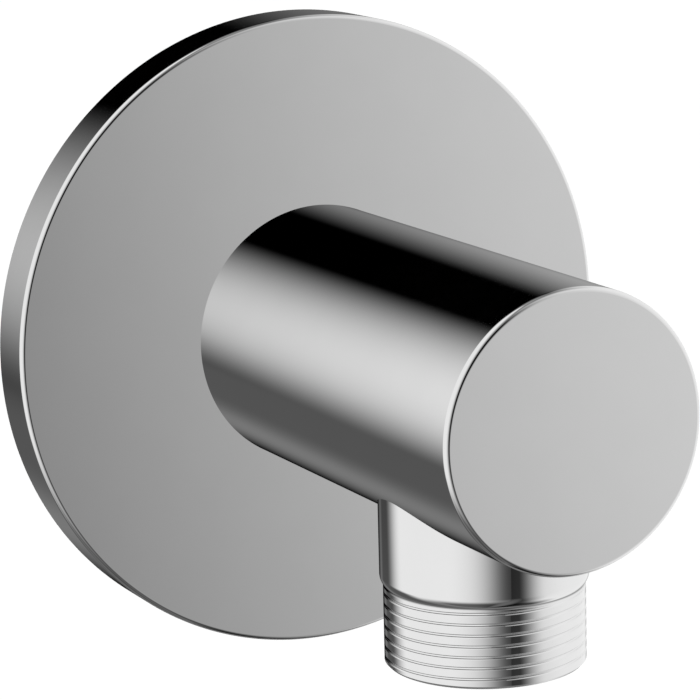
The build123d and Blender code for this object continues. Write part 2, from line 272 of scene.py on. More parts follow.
def place_camera():
    """A camera at CAMERA_DISTANCE from its target, turned about the line between them by its roll."""
    yaw, pitch, roll = radians(CAMERA_YAW), radians(CAMERA_PITCH), radians(CAMERA_ROLL)
    back = Vector((sin(yaw) * cos(pitch), -cos(yaw) * cos(pitch), sin(pitch)))
    right = (-back).cross(Vector((0, 0, 1))).normalized()
    up = right.cross(-back)
    rolled_right = cos(roll) * right + sin(roll) * up
    rolled_up = cos(roll) * up - sin(roll) * right
    data = bpy.data.cameras.new("camera")
    data.sensor_width = CAMERA_SENSOR
    data.lens = CAMERA_LENS
    data.clip_start = CAMERA_NEAREST
    camera = bpy.data.objects.new("camera", data)
    turn = Matrix((rolled_right, rolled_up, back)).transposed().to_4x4()
    camera.matrix_world = Matrix.Translation(CAMERA_TARGET + back * CAMERA_DISTANCE) @ turn
    bpy.context.collection.objects.link(camera)
    bpy.context.scene.camera = camera


class Nodes:
    """Short calls for building a node tree."""

    def __init__(self, tree):
        self.tree = tree
        self.tree.nodes.clear()

    def add(self, kind, **settings):
        node = self.tree.nodes.new(kind)
        for name, value in settings.items():
            setattr(node, name, value)
        return node

    def link(self, source, target):
        if hasattr(source, "links"):
            self.tree.links.new(source, target)
        else:
            target.default_value = source

    def math(self, operation, *values, clamp=False):
        node = self.add("ShaderNodeMath", operation=operation, use_clamp=clamp)
        for socket, value in zip(node.inputs, values):
            self.link(value, socket)
        return node.outputs[0]

    def smooth(self, value, low, high, low_result=0.0, high_result=1.0):
        node = self.add("ShaderNodeMapRange", interpolation_type="SMOOTHSTEP")
        for socket, item in zip(node.inputs, (value, low, high, low_result, high_result)):
            self.link(item, socket)
        return node.outputs[0]

    def inverse(self, value):
        return self.math("SUBTRACT", 1.0, value)

    def product(self, first, *others):
        for other in others:
            first = self.math("MULTIPLY", first, other)
        return first


def left_panel(n, azimuth, elevation):
    """Level of the left panel, whose edge at the wall swings away from the wall low down."""
    leftward = n.math("MULTIPLY", azimuth, -1.0)
    low = n.math("MAXIMUM", elevation, LEFT_SWING_LOWEST)
    swing = n.math("MULTIPLY", n.math("EXPONENT", n.math("MULTIPLY", low, -1 / LEFT_SWING_FALL)), LEFT_SWING)
    start = n.math("ADD", swing, LEFT_START)
    begun = n.smooth(leftward, start, n.math("ADD", start, LEFT_START_WIDTH))
    ended = n.math("ADD", *(n.math("MULTIPLY", n.smooth(leftward, *fade), share)
                            for fade, share in zip(LEFT_END_FADES, LEFT_END_SHARES)))
    return n.product(begun, n.inverse(ended), n.smooth(elevation, *LEFT_LOW_FADE))


def right_panel(n, azimuth, elevation):
    """Level of the right panel, which reaches lower, leans with height and dims towards its top."""
    below = n.math("MINIMUM", n.math("MAXIMUM", elevation, RIGHT_SHIFT_LOWEST), 0.0)
    above = n.math("MAXIMUM", n.math("SUBTRACT", elevation, RIGHT_SHIFT_HEIGHT), 0.0)
    shift = n.math("ADD", n.math("MULTIPLY", below, RIGHT_SHIFT_BELOW),
                   n.math("MULTIPLY", above, RIGHT_SHIFT_ABOVE))
    begun = n.smooth(azimuth, *(n.math("ADD", shift, angle) for angle in RIGHT_START_FADE))
    lean = n.math("MULTIPLY", n.math("SUBTRACT", elevation, RIGHT_UPRIGHT_AT), RIGHT_LEAN)
    leaning = n.smooth(azimuth, *(n.math("ADD", lean, angle) for angle in RIGHT_LEANING_FADE))
    edges = (leaning, n.smooth(azimuth, *RIGHT_END_FADE))
    ended = n.math("ADD", *(n.math("MULTIPLY", edge, share) for edge, share in zip(edges, RIGHT_END_SHARES)))
    return n.product(begun, n.inverse(ended), n.smooth(elevation, *RIGHT_LOW_FADE),
                     n.smooth(elevation, *RIGHT_TOP_FADE))


def wall_card(n, x, y, z, elevation):
    """Level of a dim card under the fitting, on the wall's side, by the angle round the body's axis."""
    round_axis = n.math("FLOORED_MODULO", n.math("MULTIPLY", n.math("ARCTAN2", z, x), DEGREES), 360.0)
    shape = n.product(n.smooth(round_axis, *CARD_END_FADE), n.math("GREATER_THAN", round_axis, 180.0),
                      n.smooth(elevation, *CARD_TOP_FADE), n.math("GREATER_THAN", y, 0.0))
    return n.product(n.smooth(round_axis, *CARD_LEVEL), shape)


def dark_patch(n, off_room, elevation):
    """1 in the dark middle of the room's side, between the panels, and less further out."""
    across = n.math("DIVIDE", off_room, DARK_SPREAD[0])
    upright = n.math("DIVIDE", n.math("SUBTRACT", elevation, DARK_ELEVATION), DARK_SPREAD[1])
    spread = n.math("ADD", n.product(across, across), n.product(upright, upright))
    return n.math("MULTIPLY", n.math("EXPONENT", n.math("MULTIPLY", spread, -1.0)), DARK_STRENGTH, clamp=True)


def studio_level(n):
    """What polished metal sees of the white studio: two tall side panels, a dim top and dark gaps."""
    split = n.add("ShaderNodeSeparateXYZ")
    n.link(n.add("ShaderNodeTexCoord").outputs["Generated"], split.inputs[0])
    x, y, z = split.outputs
    azimuth = n.math("MULTIPLY", n.math("ARCTAN2", x, y), DEGREES)
    elevation = n.math("MULTIPLY", n.math("ARCSINE", z), DEGREES)
    off_room = n.math("SUBTRACT", 180.0, n.math("ABSOLUTE", azimuth))
    sides = n.math("MAXIMUM", left_panel(n, azimuth, elevation), right_panel(n, azimuth, elevation))
    card = n.product(wall_card(n, x, y, z, elevation), n.inverse(sides))
    fill = n.product(n.smooth(off_room, *FILL_LEVEL), n.smooth(elevation, *FILL_TOP_FADE))
    lit = n.math("MAXIMUM", n.math("ADD", sides, card), fill)
    room = n.product(lit, n.inverse(dark_patch(n, off_room, elevation)))
    top_level = n.math("SUBTRACT", TOP_LEVEL, n.math("MULTIPLY", x, TOP_TILT), clamp=True)
    top = n.product(top_level, n.smooth(elevation, *TOP_FADE))
    return n.math("MINIMUM", n.math("MAXIMUM", room, top), 1.0)


def studio_world():
    """White for the camera, an even white for matt surfaces, and the studio's shapes for metal."""
    world = bpy.data.worlds.new("studio")
    bpy.context.scene.world = world
    world.use_nodes = True
    n = Nodes(world.node_tree)
    path = n.add("ShaderNodeLightPath").outputs
    unlit = n.product(n.inverse(studio_level(n)), path["Is Glossy Ray"])
    background = n.add("ShaderNodeBackground")
    n.link((1, 1, 1, 1), background.inputs["Color"])
    n.link(n.inverse(unlit), background.inputs["Strength"])
    output = n.add("ShaderNodeOutputWorld")
    n.link(background.outputs[0], output.inputs[0])


def pale_floor():
    """A pale floor that glows a little for the camera alone, so that it is white there."""
    mesh = bpy.data.meshes.new("floor")
    w = FLOOR_HALF_WIDTH
    corners = [(-w, -w, FLOOR_HEIGHT), (w, -w, FLOOR_HEIGHT), (w, w, FLOOR_HEIGHT), (-w, w, FLOOR_HEIGHT)]
    mesh.from_pydata(corners, [], [(0, 1, 2, 3)])
    obj = bpy.data.objects.new("floor", mesh)
    bpy.context.collection.objects.link(obj)
    mat = bpy.data.materials.new("floor")
    mat.use_nodes = True
    n = Nodes(mat.node_tree)
    diffuse = n.add("ShaderNodeBsdfDiffuse")
    n.link((FLOOR_TONE, FLOOR_TONE, FLOOR_TONE, 1), diffuse.inputs["Color"])
    glow = n.add("ShaderNodeEmission")
    path = n.add("ShaderNodeLightPath")
    n.link(n.math("MULTIPLY", path.outputs["Is Camera Ray"], FLOOR_GLOW), glow.inputs["Strength"])
    both = n.add("ShaderNodeAddShader")
    n.link(diffuse.outputs[0], both.inputs[0])
    n.link(glow.outputs[0], both.inputs[1])
    output = n.add("ShaderNodeOutputMaterial")
    n.link(both.outputs[0], output.inputs[0])
    mesh.materials.append(mat)
    obj.visible_glossy = False


def about_body(radius, station, angle):
    """A point of a turned form about the body's axis; the angle turns right-handed about +Y."""
    return Vector((radius * cos(angle), station, -radius * sin(angle)))


def about_outlet(radius, station, angle):
    """A point of a turned form about the outlet's axis; the angle turns right-handed about +Z."""
    return Vector((radius * cos(angle), radius * sin(angle) - OUTLET_REACH, station))


def about_lock(radius, station, angle):
    """A point of a turned form about the locking screw's axis."""
    return Vector((radius * cos(angle), radius * sin(angle) - LOCK_REACH, station))


class Section:
    """A closed section in (radius, station), drawn with the material on its left."""

    def __init__(self, radius, station):
        self.at = (radius, station)
        self.bands = []

    def line(self, radius, station):
        dr, ds = radius - self.at[0], station - self.at[1]
        length = hypot(dr, ds)
        normal = (ds / length, -dr / length)
        self.bands.append((self.at, normal, (radius, station), normal))
        self.at = (radius, station)
        return self

    def convex_arc(self, centre, radius, first_angle, last_angle, steps):
        spots = []
        for i in range(steps + 1):
            a = radians(first_angle + (last_angle - first_angle) * i / steps)
            spots.append(((centre[0] + radius * cos(a), centre[1] + radius * sin(a)), (cos(a), sin(a))))
        for (p, p_normal), (q, q_normal) in zip(spots, spots[1:]):
            self.bands.append((p, p_normal, q, q_normal))
        self.at = spots[-1][0]
        return self


class Skin:
    """Faces that share their points, with the true surface's normal at each corner."""

    def __init__(self, placing):
        self.placing = placing
        self.found = {}
        self.points = []
        self.faces = []
        self.normals = []

    def point(self, position):
        key = tuple(round(c * POINT_GRID) for c in position)
        if key not in self.found:
            self.found[key] = len(self.points)
            self.points.append(position)
        return self.found[key]

    def face(self, corners):
        """A face that winds the way its normals point; corners that meet in one point count once."""
        ids, normals = [], []
        for position, normal in corners:
            i = self.point(position)
            if i not in ids:
                ids.append(i)
                normals.append(normal)
        if len(ids) < 3:
            return
        spots = [self.points[i] for i in ids]
        facing = sum((a.cross(b) for a, b in zip(spots, spots[1:] + spots[:1])), Vector((0, 0, 0)))
        if facing.dot(sum(normals, Vector((0, 0, 0)))) < 0:
            ids.reverse()
            normals.reverse()
        self.faces.append(ids)
        self.normals.extend(normals)

    def normal(self, radial, around, along, angle):
        """A unit normal from its parts away from, around and along the axis."""
        origin = self.placing(0, 0, 0)
        out = self.placing(1, 0, angle) - origin
        side = self.placing(1, 0, angle + pi / 2) - origin
        axis = self.placing(0, 1, 0) - origin
        return (radial * out + around * side + along * axis).normalized()

    def turn(self, section, steps=TURN_STEPS):
        """Turns a section's bands about the axis."""
        for p, p_normal, q, q_normal in section.bands:
            for i in range(steps):
                a, b = 2 * pi * i / steps, 2 * pi * ((i + 1) % steps) / steps
                turned_band = ((p, p_normal, a), (p, p_normal, b), (q, q_normal, b), (q, q_normal, a))
                self.face([(self.placing(radius, station, angle), self.normal(outward, 0, along, angle))
                           for (radius, station), (outward, along), angle in turned_band])

    def helix(self, low, high, pitch, start, stops, radius, steps=TURN_STEPS):
        """Helical rows between two stations; radius(station, phase) shapes the surface.

        The phase is 0 in the middle of the groove and runs to half a pitch either side.
        """
        first, last = floor((low - start) / pitch) - 1, ceil((high - start) / pitch) + 1
        rows = [turn + stop for turn in range(first, last + 1) for stop in stops]
        small = 1e-4

        def surface(station, turns):
            phase = (station - start) / pitch - turns
            return radius(station, phase - floor(phase + 0.5))

        def corner(row, i):
            station = min(max(start + pitch * (row + i / steps), low), high)
            turns = i / steps
            r = surface(station, turns)
            before, after = max(station - small, low), min(station + small, high)
            along = (surface(after, turns) - surface(before, turns)) / (after - before)
            shift = small / pitch
            change = surface(station, turns + shift) - surface(station, turns - shift)
            around = change / (2 * shift * 2 * pi * r)
            angle = 2 * pi * (i % steps) / steps
            return self.placing(r, station, angle), self.normal(1, -around, -along, angle)

        for lower, upper in zip(rows, rows[1:]):
            for i in range(steps):
                self.face([corner(lower, i), corner(lower, i + 1), corner(upper, i + 1), corner(upper, i)])

    def build(self, name):
        mesh = bpy.data.meshes.new(name)
        mesh.from_pydata([p * MM for p in self.points], [], self.faces)
        mesh.shade_smooth()
        mesh.normals_split_custom_set(self.normals)
        return mesh


def add_piece(name, mesh, body, node, material):
    """An object that stands for a node of the frame and rides on its body."""
    obj = bpy.data.objects.new(name, mesh)
    bpy.context.collection.objects.link(obj)
    mesh.materials.clear()
    mesh.materials.append(material)
    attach(obj, body)
    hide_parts(node)
    return obj


def escutcheon_mesh():
    """The turned plate, with its hollow back and a groove in its hub."""
    half_groove = HUB_GROOVE_WIDTH / 2
    centre = (PLATE_RADIUS - PLATE_FILLET, PLATE_FILLET - PLATE_DEPTH)
    section = Section(HUB_BORE_RADIUS, -PLATE_DEPTH)
    section.line(PLATE_RADIUS - PLATE_FILLET, -PLATE_DEPTH)
    section.convex_arc(centre, PLATE_FILLET, -90, 0, PLATE_FILLET_STEPS)
    section.line(PLATE_RADIUS, -PLATE_BACK_CHAMFER)
    section.line(PLATE_RADIUS - PLATE_BACK_CHAMFER, 0)
    section.line(RECESS_RADIUS, 0)
    section.line(RECESS_RADIUS, PLATE_RECESS)
    section.line(HUB_RADIUS, PLATE_RECESS)
    section.line(HUB_RADIUS, HUB_BACK)
    section.line(HUB_BORE_RADIUS, HUB_BACK)
    section.line(HUB_BORE_RADIUS, HUB_GROOVE + half_groove)
    section.line(HUB_GROOVE_RADIUS, HUB_GROOVE + half_groove)
    section.line(HUB_GROOVE_RADIUS, HUB_GROOVE - half_groove)
    section.line(HUB_BORE_RADIUS, HUB_GROOVE - half_groove)
    section.line(HUB_BORE_RADIUS, -PLATE_DEPTH)
    skin = Skin(about_body)
    skin.turn(section)
    return skin.build("escutcheon_turned")


def cutter(placing, section, name):
    """A turned object that is taken away from the body, and then deleted."""
    skin = Skin(placing)
    skin.turn(section, CUTTER_STEPS)
    obj = bpy.data.objects.new(name, skin.build(name))
    bpy.context.collection.objects.link(obj)
    return obj


def elbow_body_mesh():
    """The turned body, cut by its port and the locking screw's hole."""
    drill_start = DRILL_TIP + PASSAGE_RADIUS / tan(radians(DRILL_POINT_ANGLE / 2))
    centre = (BODY_RADIUS - BODY_FILLET, BODY_FRONT + BODY_FILLET)
    section = Section(0, BODY_FRONT)
    section.line(BODY_RADIUS - BODY_FILLET, BODY_FRONT)
    section.convex_arc(centre, BODY_FILLET, -90, 0, BODY_FILLET_STEPS)
    section.line(BODY_RADIUS, BODY_REAR - BODY_REAR_CHAMFER)
    section.line(BODY_RADIUS - BODY_REAR_CHAMFER, BODY_REAR)
    section.line(SOCKET_RADIUS + SOCKET_LEAD_IN, BODY_REAR)
    section.line(SOCKET_RADIUS, BODY_REAR - SOCKET_LEAD_IN)
    section.line(SOCKET_RADIUS, SOCKET_BOTTOM)
    section.line(PASSAGE_RADIUS, SOCKET_BOTTOM)
    section.line(PASSAGE_RADIUS, drill_start)
    section.line(0, DRILL_TIP)
    skin = Skin(about_body)
    skin.turn(section)
    body = bpy.data.objects.new("body_blank", skin.build("body_blank"))
    bpy.context.collection.objects.link(body)

    port = Section(0, CUTTER_BOTTOM)
    port.line(NECK_SEAT_RADIUS, CUTTER_BOTTOM).line(NECK_SEAT_RADIUS, PORT_SEAT)
    port.line(PORT_RADIUS, PORT_SEAT).line(PORT_RADIUS, PORT_TOP).line(0, PORT_TOP)
    lock = Section(0, CUTTER_BOTTOM)
    lock.line(LOCK_RADIUS, CUTTER_BOTTOM).line(LOCK_RADIUS, LOCK_TOP).line(0, LOCK_TOP)
    cutters = [cutter(about_outlet, port, "port_cutter"), cutter(about_lock, lock, "lock_cutter")]
    for tool in cutters:
        change = body.modifiers.new(tool.name, "BOOLEAN")
        change.operation = "DIFFERENCE"
        change.solver = "EXACT"
        change.object = tool
    evaluated = body.evaluated_get(bpy.context.evaluated_depsgraph_get())
    mesh = bpy.data.meshes.new_from_object(evaluated)
    mesh.name = "elbow_body_turned"
    for obj in (body, *cutters):
        bpy.data.objects.remove(obj)
    set_body_normals(mesh)
    return mesh


def set_body_normals(mesh):
    """True normals on the body's outer surfaces; the others follow from their sharp edges."""
    mesh.shade_smooth()
    mesh.set_sharp_from_angle(angle=radians(SHARP_ANGLE))
    fillet_radius, fillet_station = BODY_RADIUS - BODY_FILLET, BODY_FRONT + BODY_FILLET
    normals = [Vector((0, 0, 0))] * len(mesh.loops)
    for face in mesh.polygons:
        corners = [mesh.vertices[v].co / MM for v in face.vertices]
        middle = face.center / MM
        outer = all(abs(hypot(c.x, c.z) - BODY_RADIUS) < ON_SURFACE for c in corners)
        front = all(abs(c.y - BODY_FRONT) < ON_SURFACE for c in corners)
        in_fillet = middle.y < fillet_station and hypot(middle.x, middle.z) > fillet_radius - ON_SURFACE
        for loop, c in zip(face.loop_indices, corners):
            reach = hypot(c.x, c.z)
            if front:
                normals[loop] = Vector((0, -1, 0))
            elif outer:
                normals[loop] = Vector((c.x, 0, c.z)).normalized()
            elif in_fillet:
                spread = (reach - fillet_radius) / reach
                normals[loop] = Vector((c.x * spread, c.y - fillet_station, c.z * spread)).normalized()
    mesh.normals_split_custom_set(normals)


def hose_groove(station, phase):
    """Radius of the hose thread: a pair of fine V grooves, barely rounded, in a broad crest."""
    cut, soft = 0, HOSE_GROOVE_ROUNDING
    for place, half, depth in HOSE_GROOVE_LINES:
        offset = abs(phase * HOSE_GROOVE_PITCH - place) / half
        if offset < soft:
            cut += depth * (1 - offset * offset / (2 * soft * (1 - soft)))
        elif offset < 1 - soft:
            cut += depth * (1 - (offset - soft / 2) / (1 - soft))
        elif offset < 1:
            cut += depth * (1 - offset) ** 2 / (2 * soft * (1 - soft))
    ends = [(station - OUTLET_END - OUTLET_CHAMFER) / HOSE_GROOVE_FADE,
            (NECK_BOTTOM - NECK_RELIEF_DEPTH - station) / HOSE_GROOVE_FADE]
    for share in ends:
        cut *= min(max(share, 0), 1)
    return THREAD_RADIUS - cut


def outlet_nipple_mesh():
    """The turned outlet, with its neck, its hose thread and the valve's pocket."""
    thread_top = NECK_BOTTOM - NECK_RELIEF_DEPTH
    thread_end = OUTLET_END + OUTLET_CHAMFER
    relief_radius = THREAD_RADIUS - NECK_RELIEF_DEPTH
    step = NECK_RADIUS - relief_radius
    round_radius = step / (1 - cos(radians(NECK_ROUND_ANGLE)))
    round_top = NECK_BOTTOM + round_radius * sin(radians(NECK_ROUND_ANGLE))
    section = Section(RIM_POCKET_RADIUS, OUTLET_END)
    section.line(THREAD_RADIUS - OUTLET_CHAMFER, OUTLET_END)
    section.line(THREAD_RADIUS, thread_end)
    # the thread's own surface, added last, fills this gap
    section.at = (THREAD_RADIUS, thread_top)
    section.line(relief_radius, NECK_BOTTOM)
    centre = (NECK_RADIUS - round_radius, round_top)
    section.convex_arc(centre, round_radius, -NECK_ROUND_ANGLE, 0, NECK_ROUND_STEPS)
    section.line(NECK_RADIUS, PORT_SEAT)
    section.line(OUTLET_GROOVE_RADIUS, PORT_SEAT)
    section.line(OUTLET_GROOVE_RADIUS, OUTLET_GROOVE_TOP)
    section.line(NIPPLE_THREAD_RADIUS, OUTLET_GROOVE_TOP)
    section.line(NIPPLE_THREAD_RADIUS, NIPPLE_TOP - NIPPLE_TOP_CHAMFER)
    section.line(NIPPLE_THREAD_RADIUS - NIPPLE_TOP_CHAMFER, NIPPLE_TOP)
    section.line(NIPPLE_BORE_RADIUS, NIPPLE_TOP)
    section.line(NIPPLE_BORE_RADIUS, POCKET_TOP)
    section.line(POCKET_RADIUS, POCKET_TOP)
    section.line(POCKET_RADIUS, RIM_SEAT)
    section.line(RIM_POCKET_RADIUS, RIM_SEAT)
    section.line(RIM_POCKET_RADIUS, OUTLET_END)
    skin = Skin(about_outlet)
    skin.turn(section)
    soft = HOSE_GROOVE_ROUNDING
    shares = (-1, soft - 1, -0.5, -soft, 0, soft, 0.5, 1 - soft, 1)
    stops = sorted((place + half * share) / HOSE_GROOVE_PITCH
                   for place, half, depth in HOSE_GROOVE_LINES for share in shares)
    start = HOSE_GROOVE_HEIGHT - HOSE_GROOVE_PITCH * HOSE_GROOVE_ANGLE / 360
    skin.helix(thread_end, thread_top, HOSE_GROOVE_PITCH, start, stops, hose_groove)
    return skin.build("outlet_nipple_turned")


def wall_thread(station, phase):
    """Radius of the pipe thread: a round wave from crest to root, which runs out at both ends."""
    cut = WALL_THREAD_DEPTH * (1 + cos(2 * pi * phase)) / 2
    cut *= min(max((station - WALL_THREAD_START) / (WALL_THREAD_PITCH / 2), 0), 1)
    cut *= min((WALL_THREAD_END - station) / WALL_THREAD_CHAMFER, 1)
    chamfer = THREAD_RADIUS - max(0, station - (WALL_THREAD_END - WALL_THREAD_CHAMFER))
    return min(THREAD_RADIUS - cut, chamfer)


def wall_nipple_mesh():
    """The turned nipple with its thread; the key's hexagon is cut from the spigot's end."""
    half_floor = LOCK_FLOOR_WIDTH / 2
    lock_depth = SPIGOT_RADIUS - LOCK_FLOOR_RADIUS
    half_groove = SPIGOT_GROOVE_WIDTH / 2
    skin = Skin(about_body)
    section = Section(SPIGOT_RADIUS - SPIGOT_LEAD_IN, SPIGOT_FRONT)
    section.line(SPIGOT_RADIUS, SPIGOT_FRONT + SPIGOT_LEAD_IN)
    for station in SPIGOT_GROOVES:
        section.line(SPIGOT_RADIUS, station - half_groove)
        section.line(SPIGOT_GROOVE_RADIUS, station - half_groove)
        section.line(SPIGOT_GROOVE_RADIUS, station + half_groove)
        section.line(SPIGOT_RADIUS, station + half_groove)
    section.line(SPIGOT_RADIUS, -LOCK_REACH - half_floor - lock_depth)
    section.line(LOCK_FLOOR_RADIUS, -LOCK_REACH - half_floor)
    section.line(LOCK_FLOOR_RADIUS, -LOCK_REACH + half_floor)
    section.line(SPIGOT_RADIUS, -LOCK_REACH + half_floor + lock_depth)
    section.line(SPIGOT_RADIUS, WALL_RELIEF_END)
    section.line(WALL_RELIEF_RADIUS, WALL_RELIEF_END)
    section.line(WALL_RELIEF_RADIUS, WALL_THREAD_START)
    section.line(THREAD_RADIUS, WALL_THREAD_START)
    # the thread's own surface, added last, fills this gap
    section.at = (THREAD_RADIUS - WALL_THREAD_CHAMFER, WALL_THREAD_END)
    section.line(INLET_RADIUS, WALL_THREAD_END)
    section.line(INLET_RADIUS, KEY_BOTTOM)
    skin.turn(section)
    key_socket(skin)
    stops = [i / WALL_THREAD_STEPS for i in range(WALL_THREAD_STEPS)]
    skin.helix(WALL_THREAD_START, WALL_THREAD_END, WALL_THREAD_PITCH, WALL_THREAD_START, stops, wall_thread)
    return skin.build("wall_nipple_turned")


def key_socket(skin, steps=TURN_STEPS):
    """Hexagon socket from the spigot's end, with a flat rim round its mouth and a flat step at its bottom."""
    rim_radius = SPIGOT_RADIUS - SPIGOT_LEAD_IN
    for i in range(steps):
        a, b = 2 * pi * i / steps, 2 * pi * ((i + 1) % steps) / steps
        flat = pi / 3 * floor((i + 0.5) / steps * 6 + 0.5)
        side, rim, bottom = [], [], []
        for angle in (a, b):
            reach = KEY_HALF_WIDTH / cos(angle - flat)
            mouth, foot = skin.placing(reach, SPIGOT_FRONT, angle), skin.placing(reach, KEY_BOTTOM, angle)
            inward = skin.normal(-cos(flat - angle), -sin(flat - angle), 0, angle)
            back = skin.normal(0, 0, -1, angle)
            side.append([(mouth, inward), (foot, inward)])
            rim.append([(mouth, back), (skin.placing(rim_radius, SPIGOT_FRONT, angle), back)])
            bottom.append([(foot, back), (skin.placing(INLET_RADIUS, KEY_BOTTOM, angle), back)])
        for (first, second), (third, fourth) in (side, rim, bottom):
            skin.face([first, third, fourth, second])


def spring_mesh(steps=SPRING_TURN_STEPS, around=WIRE_STEPS):
    """Round wire on a right-handed helix, with flat ends."""
    skin = Skin(about_outlet)
    rise = (SPRING_TOP - SPRING_BOTTOM) / (SPRING_TURNS * 2 * pi)
    count = round(SPRING_TURNS * steps)
    slope = hypot(SPRING_RADIUS, rise)

    def ring(i, j):
        angle, a = 2 * pi * i / steps, 2 * pi * (j % around) / around
        out = skin.normal(1, 0, 0, angle)
        across = skin.normal(0, -rise / slope, SPRING_RADIUS / slope, angle)
        normal = cos(a) * out + sin(a) * across
        return skin.placing(SPRING_RADIUS, SPRING_BOTTOM + rise * angle, angle) + WIRE_RADIUS * normal, normal

    for i in range(count):
        for j in range(around):
            skin.face([ring(i, j), ring(i, j + 1), ring(i + 1, j + 1), ring(i + 1, j)])
    for i, side in ((0, -1), (count, 1)):
        end = skin.normal(0, side * SPRING_RADIUS / slope, side * rise / slope, 2 * pi * i / steps)
        skin.face([(ring(i, j)[0], end) for j in range(around)])
    return skin.build("valve_spring_coil")


class Finish:
    """A Principled material that is worked out in the object's own space, in metres."""

    def __init__(self, name):
        self.material = bpy.data.materials.new(name)
        self.material.use_nodes = True
        self.n = Nodes(self.material.node_tree)
        self.shader = self.n.add("ShaderNodeBsdfPrincipled")
        output = self.n.add("ShaderNodeOutputMaterial")
        self.n.link(self.shader.outputs[0], output.inputs[0])
        self.place = self.n.add("ShaderNodeTexCoord").outputs["Object"]

    def axes(self):
        split = self.n.add("ShaderNodeSeparateXYZ")
        self.n.link(self.place, split.inputs[0])
        return split.outputs

    def noise(self, size, detail=3.0, stretch=(1, 1, 1)):
        """Noise from 0 to 1 whose features are about size millimetres across."""
        mapping = self.n.add("ShaderNodeMapping")
        self.n.link(self.place, mapping.inputs["Vector"])
        self.n.link(tuple(1 / (size * MM) / s for s in stretch), mapping.inputs["Scale"])
        noise = self.n.add("ShaderNodeTexNoise")
        self.n.link(mapping.outputs[0], noise.inputs["Vector"])
        self.n.link(1.0, noise.inputs["Scale"])
        self.n.link(detail, noise.inputs["Detail"])
        return noise.outputs["Fac"]

    def cells(self, size):
        """Distance to the nearest of scattered cell centres, size millimetres apart."""
        cells = self.n.add("ShaderNodeTexVoronoi")
        self.n.link(self.place, cells.inputs["Vector"])
        self.n.link(1 / (size * MM), cells.inputs["Scale"])
        return cells.outputs["Distance"]

    def rings(self, along, pitch, wander=0.0):
        """Fine ridges across an axis, pitch millimetres apart, with a little wander."""
        n = self.n
        turns = n.math("MULTIPLY", along, 2 * pi / (pitch * MM))
        if wander:
            turns = n.math("ADD", turns, n.math("MULTIPLY", self.noise(size=1.5), wander))
        return n.math("SINE", turns)

    def span(self, value, low, high, low_result, high_result):
        """A straight change from one result to the other between two values."""
        node = self.n.add("ShaderNodeMapRange")
        for socket, item in zip(node.inputs, (value, low, high, low_result, high_result)):
            self.n.link(item, socket)
        return node.outputs[0]

    def vary(self, noise, low, high):
        """From low to high over a noise's range."""
        return self.span(noise, *NOISE_RANGE, low, high)

    def colour(self, value, first, last, first_at=0.35, last_at=0.65):
        """A blend from the first colour to the last between two values."""
        ramp = self.n.add("ShaderNodeValToRGB")
        for stop, colour, at in zip(ramp.color_ramp.elements, (first, last), (first_at, last_at)):
            stop.color = (*colour, 1)
            stop.position = at
        self.n.link(value, ramp.inputs[0])
        return ramp.outputs[0]

    def mix(self, share, first, second):
        node = self.n.add("ShaderNodeMix", data_type="RGBA")
        self.n.link(share, node.inputs[0])
        self.n.link(first, node.inputs[6])
        self.n.link(second, node.inputs[7])
        return node.outputs[2]

    def set(self, **values):
        for name, value in values.items():
            self.n.link(value, self.shader.inputs[name.replace("_", " ").title()])

    def bump(self, height, depth):
        """Relief of the given depth in millimetres for a height from 0 to 1."""
        node = self.n.add("ShaderNodeBump")
        self.n.link(1.0, node.inputs["Strength"])
        self.n.link(depth * MM, node.inputs["Distance"])
        self.n.link(height, node.inputs["Height"])
        self.n.link(node.outputs[0], self.shader.inputs["Normal"])

    def inside(self, radius_squared, limit, along, low, high):
        """1 where a point lies within a radius of an axis and between two stations."""
        n = self.n
        return n.product(n.math("LESS_THAN", radius_squared, (limit * MM) ** 2),
                         n.math("GREATER_THAN", along, low * MM), n.math("LESS_THAN", along, high * MM))


def polished_chrome(name, dull_place, painted_shade_way=None, groove_painted_shade=None):
    """Mirror plating with a faint haze, which is dull inside, with painted shade in a water way and painted
    shade at the bottom of a narrow groove.

    The places of dull metal and of painted shade in a water way give a squared distance from an axis and a
    station along it in metres, and then the radius, the lowest and the highest station that bound them in
    millimetres.
    """
    f = Finish(name)
    n = f.n
    x, y, z = f.axes()
    radius_squared, along, limit, low, high = dull_place(n, x, y, z)
    dull = f.inside(radius_squared, limit, along, low, high)
    haze = f.noise(size=6.0, detail=4.0)
    colour = f.mix(dull, f.colour(haze, *CHROME), f.colour(f.noise(size=2.5), *DULL_CHROME))
    turning_marks = n.product(f.rings(n.math("SQRT", radius_squared), pitch=0.22, wander=0.8), dull)
    # painted shade in a water way
    if painted_shade_way:
        radius_squared, along, limit, low, high = painted_shade_way(n, x, y, z)
        way_painted_shade = f.inside(radius_squared, limit, along, low, high)
        dull = n.math("MAXIMUM", dull, way_painted_shade)
        colour = f.mix(way_painted_shade, colour, f.colour(f.noise(size=1.5), *WATER_WAY_PAINTED_SHADE))
    # painted shade at the bottom of a narrow groove
    if groove_painted_shade:
        colour = f.mix(n.math("MULTIPLY", groove_painted_shade(n, x, y, z), PAINTED_GROOVE_SHADE_SHARE), colour, PAINTED_GROOVE_SHADE)
    polished = f.vary(haze, 0.03, 0.05)
    matt = f.vary(f.noise(size=0.8), 0.40, 0.55)
    f.set(metallic=1.0, base_color=colour,
          roughness=n.math("ADD", n.product(polished, n.inverse(dull)), n.product(matt, dull)))
    f.bump(turning_marks, depth=0.0015)
    return f.material


def about_y(n, x, y, z):
    """Squared distance from the body's axis."""
    return n.math("ADD", n.math("MULTIPLY", x, x), n.math("MULTIPLY", z, z))


def about_outlet_axis(n, x, y, z):
    """Squared distance from the outlet's axis."""
    reach = n.math("ADD", y, OUTLET_REACH * MM)
    return n.math("ADD", n.math("MULTIPLY", x, x), n.math("MULTIPLY", reach, reach))


